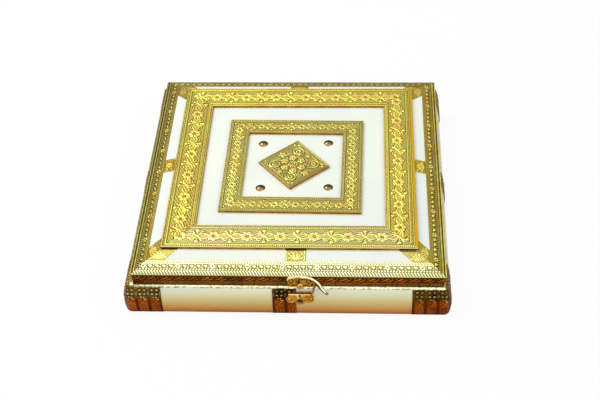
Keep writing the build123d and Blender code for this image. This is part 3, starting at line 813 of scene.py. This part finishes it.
# How far each border foil stands out past the lid's edge band, and how far it droops
EAVE = {"front": 0.7, "right": 1.4, "back": 0.7, "left": 1.9}
EAVE_DROP = 0.4
border_phases = {"front": -4.0, "right": 3.0, "back": 0.0, "left": 5.0}
border_low = (LID_SIDE_HALF + FOIL, LID_SIDE_TOP + 0.25)
border_high = (HIP_BREAK[0] + 0.1, HIP_BREAK[1] + 0.25)
band_low = (LID_SIDE_HALF + 0.1, LID_BOTTOM)
band_high = (LID_SIDE_HALF + 0.1, LID_SIDE_TOP)
order = list(SIDES)
for place, (side, angle) in enumerate(SIDES.items()):
    slope, width, reach = slope_surface(border_low, border_high, angle)
    own, before, after = (EAVE[order[(place + step) % 4]] for step in (0, -1, 1))

    def laid(u, v, lift):
        beyond = np.maximum(-v, 0) / own
        drop = np.stack([0 * v, -own * beyond, -EAVE_DROP * beyond], axis=-1)
        return slope(u, np.maximum(v, 0), lift) + turned(drop, angle)

    u, v = grid_between(
        2 * border_low[0], width,
        lambda v: -reach(np.maximum(v, 0)) - before * np.maximum(-v, 0) / own,
        lambda v: reach(np.maximum(v, 0)) + after * np.maximum(-v, 0) / own,
        -own,
    )
    pattern = border_pattern(width, border_phases[side], side != "front")
    relief_piece(
        f"lid_border_{side}_embossed", laid, u, v, pattern, 0.05, [border_metals[side]],
        "lid", "gold_foil", f"lid_border_foil_{side}", full_back=True,
    )
    laid, width, reach = slope_surface(band_low, band_high, angle)
    u, v = grid_between(2 * band_low[0], width, lambda v: -reach(v), reach)
    relief_piece(
        f"lid_band_{side}_embossed", laid, u, v, band_pattern, 0.1, [band_copper], "lid", "copper_foil",
        f"lid_side_foil_{side}",
    )

hip_width = math.hypot(HIP_BREAK[0] - HIP_TOP[0], HIP_TOP[1] - HIP_BREAK[1])
leg = HIP_CORNER_FOIL_WIDTH / math.sqrt(2)
for side, angle in SIDES.items():
    slope, width, reach = slope_surface(HIP_BREAK, HIP_TOP, angle)
    length = width + (1.3 if side == "front" else 0.2)

    def laid(u, v, lift):
        inward = np.stack([0 * v, np.maximum(v - width, 0), 0 * v], axis=-1)
        return slope(u, np.minimum(v, width), lift) + turned(inward, angle)

    middle = FRONT_HIP_FOIL_X if side == "front" else 0.0
    half = HIP_MIDDLE_FOIL_WIDTH / 2
    pieces = {
        "middle": (middle, 2 * half, middle - half, middle + half, "hip_middle_foils"),
        "right_corner": (100.0, 2 * leg, lambda v: reach(v) - leg, reach, "hip_corner_foils"),
        "left_corner": (
            -100.0, 2 * leg, lambda v: -reach(v), lambda v: leg - reach(v), "hip_corner_foils",
        ),
    }
    for place, (centre, foil_width, left, right, node) in pieces.items():
        u, v = grid_between(foil_width, length, left, right)
        depth = 1.0 if place == "middle" else 0.35
        # On the front, a painted shadow under the large frame's edge along the foil's inner end
        end = length - (1.6 if side == "front" else 0)
        pattern = hip_pattern(centre, foil_width, depth, end)
        relief_piece(
            f"hip_{side}_{place}_embossed", laid, u, v, pattern, 0.1, [hip_metals[side]],
            "lid", "gold_foil", node,
        )


# Foils round the base, wrapped over its bullnose sides and round corners
sag_radius = (BASE_FOOT_INSET**2 + BASE_WIDEST_Z**2) / (2 * BASE_FOOT_INSET)
low_z = np.linspace(0, BASE_WIDEST_Z, 40)[:-1]
low_x = BASE_HALF - sag_radius + np.sqrt(sag_radius**2 - (BASE_WIDEST_Z - low_z) ** 2)
nose_rise = BASE_TOP - BASE_WIDEST_Z - BASE_NOSE_RADIUS
side_radius = BASE_LEDGE_INSET**2 + nose_rise**2 - BASE_NOSE_RADIUS**2
side_radius /= 2 * (BASE_LEDGE_INSET - BASE_NOSE_RADIUS)
nose_angle = math.atan2(nose_rise, side_radius - BASE_LEDGE_INSET)
side_turn = np.linspace(0, nose_angle, 60)[:-1]
nose_turn = np.linspace(nose_angle, math.pi / 2, 60)
side_x = BASE_HALF - side_radius * (1 - np.cos(side_turn))
nose_x = BASE_HALF - BASE_LEDGE_INSET + BASE_NOSE_RADIUS * np.cos(nose_turn)
side_z = BASE_WIDEST_Z + side_radius * np.sin(side_turn)
nose_z = BASE_TOP - BASE_NOSE_RADIUS + BASE_NOSE_RADIUS * np.sin(nose_turn)
profile_x = np.concatenate([low_x, side_x, nose_x])
profile_z = np.concatenate([low_z, side_z, nose_z])
profile_v = np.concatenate([[0], np.cumsum(np.hypot(np.diff(profile_x), np.diff(profile_z)))])
normal_x = np.gradient(profile_z, profile_v)
normal_z = -np.gradient(profile_x, profile_v)
CORNER_LENGTH = (BASE_HALF - CORNER_AXIS) * math.pi / 2


def base_surface(angle):
    """Surface of the base's side: u runs from its middle and on round the corner at its right end."""
    def laid(u, v, lift):
        x = np.interp(v, profile_v, profile_x) + lift * np.interp(v, profile_v, normal_x)
        z = np.interp(v, profile_v, profile_z) + lift * np.interp(v, profile_v, normal_z)
        reach = x - CORNER_AXIS
        bend = np.clip((u - CORNER_AXIS) / CORNER_LENGTH, 0, 1) * math.pi / 2
        beyond = np.maximum(u - CORNER_AXIS - CORNER_LENGTH, 0)
        px = np.minimum(u, CORNER_AXIS) + reach * np.sin(bend)
        py = -CORNER_AXIS - reach * np.cos(bend) + beyond
        return turned(np.stack([px, py, np.maximum(z, 0.05)], axis=-1), angle)

    return laid


def base_foil(name, angle, left, right, low, high, pattern, rise, metal, node):
    """A foil on the base's side, from u = left to right and v = low to high."""
    u, v = grid_between(right - left, high, left, right, low)
    relief_piece(
        name, base_surface(angle), u, v, pattern, rise, [metal], "base", "copper_foil", node,
        full_back=True,
    )


foil_height = float(np.interp(RIM_FOIL_Z - 0.2, profile_z, profile_v))
corner_start = BASE_HALF - CORNER_FOIL_LENGTH
corner_end = 2 * CORNER_AXIS + CORNER_LENGTH - corner_start
corner_names = {"front": "front_right", "right": "back_right", "back": "back_left", "left": "front_left"}
for side, angle in SIDES.items():
    corner = corner_names[side]
    base_foil(
        f"base_corner_{corner}_embossed", angle, corner_start, corner_end, 0.0, foil_height,
        patch_pattern(corner_start + 5.5 if side == "front" else corner_end - 5.0), FOIL, patch_copper,
        f"base_corner_foil_{corner}",
    )
    middle = FRONT_MIDDLE_FOIL_X if side == "front" else 0.0
    left, right = middle - MIDDLE_FOIL_WIDTH / 2, middle + MIDDLE_FOIL_WIDTH / 2
    base_foil(
        f"base_middle_{side}_embossed", angle, left, right, 0.0, foil_height, patch_pattern(left + 5.5),
        FOIL, patch_copper, f"base_middle_foil_{side}",
    )

# Where the side foils turn over the top edge; at the front's middle the rim foil covers them
cap_start = float(np.interp(RIM_FOIL_Z - 0.3, profile_z, profile_v))
cap_end = float(profile_v[-1])
cap_spans = {
    "front": (CORNER_AXIS + 0.2 * CORNER_LENGTH, corner_end),
    "right": (corner_start, corner_end),
    "back": (corner_start, corner_end),
    "left": (corner_start, CORNER_AXIS + CORNER_LENGTH),
}
for side, angle in SIDES.items():
    corner = corner_names[side]
    base_foil(
        f"base_corner_{corner}_cap", angle, *cap_spans[side], cap_start, cap_end, cap_pattern,
        FOIL + 0.05, cap_copper, f"base_corner_foil_{corner}",
    )
    if side != "front":
        half = MIDDLE_FOIL_WIDTH / 2
        base_foil(
            f"base_middle_{side}_cap", angle, -half, half, cap_start, cap_end, cap_pattern,
            FOIL + 0.05, cap_copper, f"base_middle_foil_{side}",
        )


# Latch: the plates with softened edges, and the horn with a rounded section
LATCH_ORIGIN = Vector((LID_OFFSET + 9.7, -121.8, 35.9))
LATCH_TILT = math.radians(30)
PIVOT_DROP = 7.0
latch_out = Vector((0, -math.cos(LATCH_TILT), math.sin(LATCH_TILT)))
latch_up = Vector((0, math.sin(LATCH_TILT), math.cos(LATCH_TILT)))
pivot = LATCH_ORIGIN - PIVOT_DROP * latch_up
horn_run = [
    (-0.9, 0.6, 1.9), (-2.0, 4.3, 1.45), (1.4, 6.6, 1.35), (8.2, 5.8, 1.4),
    (13.8, 2.2, 1.35), (16.7, -2.0, 1.1), (20.0, -5.3, 0.8),
]


def latch_point(a, b, out):
    return pivot + Vector((a, 0, 0)) + latch_up * b + latch_out * out


def through(points, steps=10):
    """Smooth run through the points (Catmull-Rom)."""
    known = np.array([points[0], *points, points[-1]], float)
    run = []
    for k in range(1, len(known) - 2):
        before, here, there, after = known[k - 1:k + 3]
        for t in np.arange(steps) / steps:
            run.append(0.5 * (
                2 * here + (there - before) * t + (2 * before - 5 * here + 4 * there - after) * t * t
                + (3 * here - before - 3 * there + after) * t**3
            ))
    return np.array([*run, known[-1]])


def fuller(share):
    """A sine or cosine drawn outward, for a section a little squarer than an ellipse."""
    return math.copysign(abs(share) ** 0.8, share)


def swept(run, depth, start=0.02, sides=16):
    """Rings of a bar with a rounded section along (a, b, half width), lying on the latch plane."""
    heading = np.gradient(run[:, :2], axis=0)
    heading /= np.linalg.norm(heading, axis=1)[:, None]
    turns = [2 * math.pi * k / sides for k in range(sides)]
    section = [(fuller(math.cos(t)), depth * (1 + fuller(math.sin(t))) + start) for t in turns]
    return [
        [latch_point(a - db * (half * x), b + da * (half * x), out) for x, out in section]
        for (a, b, half), (da, db) in zip(run, heading)
    ]


def round_turned(centre, axis, profile, sides=28):
    """Rings of a round piece about an axis, from (radius, height) points."""
    side = axis.orthogonal().normalized()
    other = axis.cross(side)
    turns = np.linspace(0, 2 * math.pi, sides, endpoint=False)
    spokes = [side * math.cos(t) + other * math.sin(t) for t in turns]
    return [[centre + axis * height + radius * spoke for spoke in spokes] for radius, height in profile]


def solid_of_rings(name, parts, material, body, slot, *replaced):
    """One piece from several stacks of rings, each closed at both ends and with its own shade."""
    points, faces, shades = [], [], []
    for rings, shade in parts:
        start, sides = len(points), len(rings[0])
        for one in rings:
            points += [point * MM for point in one]
        shades += list(np.broadcast_to(shade, (len(rings), sides)).ravel())
        for i in range(len(rings) - 1):
            for k in range(sides):
                low, high = start + i * sides, start + (i + 1) * sides
                following = (k + 1) % sides
                faces.append((low + k, low + following, high + following, high + k))
        faces.append(tuple(range(start + sides - 1, start - 1, -1)))
        last = start + (len(rings) - 1) * sides
        faces.append(tuple(range(last, last + sides)))
    mesh = bpy.data.meshes.new(name)
    mesh.from_pydata(points, [], faces)
    mesh.shade_smooth()
    shade_layer = mesh.attributes.new("shade", "FLOAT", "POINT")
    shade_layer.data.foreach_set("value", np.array(shades, np.float32))
    mesh.materials.append(material)
    obj = linked(name, mesh)
    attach(obj, body)
    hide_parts(*replaced)


def ball_profile(radius, middle, steps=9):
    turns = np.linspace(-math.pi / 2, math.pi / 2, steps)
    return [(max(0.02, radius * math.cos(t)), middle + radius * math.sin(t)) for t in turns]


boss_profile = [(2.2, 0.02), (2.55, 0.35), (2.6, 1.2), (2.35, 1.75), (1.8, 1.98), (0.02, 2.0)]
CLAW_REACH = 11.1
claw_turns = np.radians(np.linspace(26, -40, 14))
claw_run = np.array([
    (CLAW_REACH * math.cos(t), CLAW_REACH * math.sin(t), 0.95 - 0.02 * k)
    for k, t in enumerate(claw_turns)
])
horn = through(horn_run)
along = np.linspace(0, 1, len(horn))[:, None]
across = np.cos(2 * math.pi * np.arange(16) / 16)[None, :]
# Painted shade on the hook: darker neck and tip, black along the arch's inner edge; below, the claw, boss
# and tip ball are darkened by set amounts
horn_shade = highest(1.2 * smooth((0.36 - along) / 0.08), 2.0 * smooth((0.15 - across) / 0.5))
horn_shade = highest(horn_shade, 1.1 * smooth((along - 0.95) / 0.04) + 0 * across)
solid_of_rings(
    "latch_hook_rounded",
    [
        (swept(horn, 1.0), horn_shade), (swept(claw_run, 0.95), 1.0),
        (round_turned(pivot, latch_out, boss_profile), 0.7),
        (round_turned(latch_point(20.7, -5.6, 1.05), latch_out, ball_profile(1.3, 0)), 1.1),
    ],
    hook_brass, "hook", "bright_brass", "latch_hook",
)

# Rolled edges and domes painted bright as highlights, dishes and the eye painted black as shade, and the
# eye's ring on the two plates
plate_roll = np.array([
    (-9.5, 4.2, 0.5), (-9.1, 5.4, 0.8), (-7.9, 6.2, 1.0), (-5.2, 6.6, 1.05), (-2.0, 6.8, 1.0),
    (1.5, 7.0, 0.8),
])
plate_lug = np.array([(4.8, 7.3, 0.4), (6.2, 7.9, 0.8), (7.8, 7.7, 0.7), (8.8, 7.0, 0.4)])
dish = [(1.42, 0.0), (1.42, 0.02), (1.88, 0.02), (1.88, 0.0)]
solid_of_rings(
    "latch_lid_plate_roll",
    [
        (swept(through(plate_roll), 0.6, -1.2), 0.0),
        (swept(through(plate_lug), 0.4, -0.85), 0.7),
        *((round_turned(latch_point(a, 3.6, -0.8), latch_out, dish), 1.8) for a in (-6.7, 6.7)),
    ],
    hook_brass, "lid", "bright_brass", "latch_lid_plate",
)
CATCH_Y = -128.4
CATCH_TOP = 23.8
CATCH_DOME_Z = 22.2
CATCH_EAR_Z = 17.8
CATCH_EYE_Z = 16.2
toward = Vector((0, -1, 0))
catch_middle = Vector((LATCH_ORIGIN.x, CATCH_Y, 0))
roll_ends = (-9.0, 0.25), (-8.7, 0.5), (-7.8, 0.6), (0, 0.65), (7.8, 0.6), (8.7, 0.5), (9.0, 0.25)
roll_rings = [
    [
        catch_middle + Vector((x, 0.1 - radius * math.cos(t), CATCH_TOP - 0.5 + radius * math.sin(t)))
        for t in np.linspace(0, 2 * math.pi, 16, endpoint=False)
    ]
    for x, radius in roll_ends
]
eye = catch_middle + Vector((0, 0, CATCH_EYE_Z))
eye_ring = [(2.3, -0.1), (2.35, 0.2), (2.65, 0.32), (2.95, 0.2), (3.0, -0.1)]
domes = [catch_middle + Vector((x, 0, CATCH_DOME_Z)) for x in (-1.9, 1.5)]
ears = [catch_middle + Vector((x, 0.48, CATCH_EAR_Z)) for x in (-8.3, 8.3)]
solid_of_rings(
    "latch_catch_plate_trim",
    [
        (roll_rings, 0.35),
        (round_turned(eye, toward, eye_ring), 0.9),
        (round_turned(eye, toward, [(1.5, -0.7), (1.6, 0.02), (2.3, 0.06), (2.3, -0.05)]), 2.0),
        (round_turned(eye, toward, [(1.5, -0.78), (1.5, -0.74), (0.02, -0.74)]), 2.0),
        *((round_turned(dome, toward, ball_profile(0.85, 0.1)), 0.0) for dome in domes),
        *((round_turned(ear, toward, dish), 2.0) for ear in ears),
    ],
    hook_brass, "base", "bright_brass", "latch_catch_plate",
)


def softened(name, material, body, width):
    """A copy of a CAD piece with bevelled edges in a bright material, a painted highlight."""
    obj = linked(f"{name}_softened", nodes[name].data.copy())
    obj.data.materials.clear()
    obj.data.materials.append(material)
    obj.data.materials.append(plate_edge)
    weld = obj.modifiers.new("weld", "WELD")
    weld.merge_threshold = 1e-6
    bevel = obj.modifiers.new("bevel", "BEVEL")
    bevel.width = width * MM
    bevel.segments = 2
    bevel.limit_method = "ANGLE"
    bevel.angle_limit = math.radians(50)
    # The bevel faces get the bright edge material: painted highlight
    bevel.material = 1
    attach(obj, body)
    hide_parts(name)


softened("latch_lid_plate", plate_brass, "lid", 0.45)
softened("latch_catch_plate", plate_brass, "base", 0.4)


# Camera, solved from the lid's corners; distances in millimetres
FOCAL_PIXELS = 1181.37
IMAGE_WIDTH = 600
SENSOR_WIDTH = 36.0
elevation, azimuth, roll = (math.radians(x) for x in (43.15, 4.23, -2.54))
distance = 956.71
target = Vector((6.71 + LID_OFFSET, -42.6, BOARD_TOP))
back = Vector((
    math.sin(azimuth) * math.cos(elevation), -math.cos(azimuth) * math.cos(elevation), math.sin(elevation)
))
right = (-back).cross(Vector((0, 0, 1))).normalized()
up = right.cross(-back)
rolled_right = right * math.cos(roll) + up * math.sin(roll)
rolled_up = up * math.cos(roll) - right * math.sin(roll)
camera_data = bpy.data.cameras.new("camera")
camera_data.sensor_width = SENSOR_WIDTH
camera_data.lens = FOCAL_PIXELS * SENSOR_WIDTH / IMAGE_WIDTH
camera_data.clip_start = 0.01
camera = linked("camera", camera_data)
place = Matrix((rolled_right, rolled_up, back)).transposed().to_4x4()
place.translation = (target + back * distance) * MM
camera.matrix_world = place
bpy.context.scene.camera = camera


# Floor, world and lamps
FLOOR_COLOUR = (0.92, 0.92, 0.92, 1)
FLOOR_WHITE_SHARE = 0.92
DIFFUSE_LIGHT = 0.62


def build_floor():
    mesh = bpy.data.meshes.new("floor")
    far = 6.0
    corners = [(-far, -far, 0), (far, -far, 0), (far, far, 0), (-far, far, 0)]
    mesh.from_pydata(corners, [], [(0, 1, 2, 3)])
    floor = linked("floor", mesh)
    material, tree, shader = new_material("floor")
    fill(tree, shader, {"Base Color": FLOOR_COLOUR, "Roughness": 0.9, "Specular IOR Level": 0.0})
    white = add(tree, "ShaderNodeEmission").outputs[0]
    seen = add(tree, "ShaderNodeLightPath").outputs["Is Camera Ray"]
    share = product(tree, seen, FLOOR_WHITE_SHARE)
    both = add(tree, "ShaderNodeMixShader", {0: share, 1: shader.outputs[0], 2: white})
    fill(tree, tree.nodes["Material Output"], {"Surface": both.outputs[0]})
    mesh.materials.append(material)


def build_world():
    world = bpy.data.worlds.new("studio")
    bpy.context.scene.world = world
    world.use_nodes = True
    tree = world.node_tree
    path = add(tree, "ShaderNodeLightPath")
    mirrored = ramp(tree, coordinate(tree, "Z", "Generated"), 0.1, 0.95, 0.55, 1.2)
    light = {0: path.outputs["Is Glossy Ray"], 2: DIFFUSE_LIGHT, 3: mirrored}
    light = add(tree, "ShaderNodeMix", light, data_type="FLOAT").outputs[0]
    strength = {0: path.outputs["Is Camera Ray"], 2: light, 3: 1.0}
    strength = add(tree, "ShaderNodeMix", strength, data_type="FLOAT").outputs[0]
    fill(tree, tree.nodes["Background"], {"Color": (1, 1, 1, 1), "Strength": strength})


def area_lamp(name, where, aim, size, watts):
    data = bpy.data.lights.new(name, "AREA")
    data.shape = "RECTANGLE"
    data.size, data.size_y = size
    data.energy = watts
    lamp = linked(name, data)
    lamp.location = where
    lamp.rotation_euler = (Vector(aim) - Vector(where)).to_track_quat("-Z", "Y").to_euler()


build_floor()
build_world()
area_lamp("key", (-0.9, 0.5, 1.3), (0, 0, 0), (0.9, 0.9), 14)
area_lamp("fill", (0.9, -0.9, 1.0), (0, 0, 0), (1.2, 0.8), 5)

bpy.context.scene.view_settings.view_transform = "Standard"
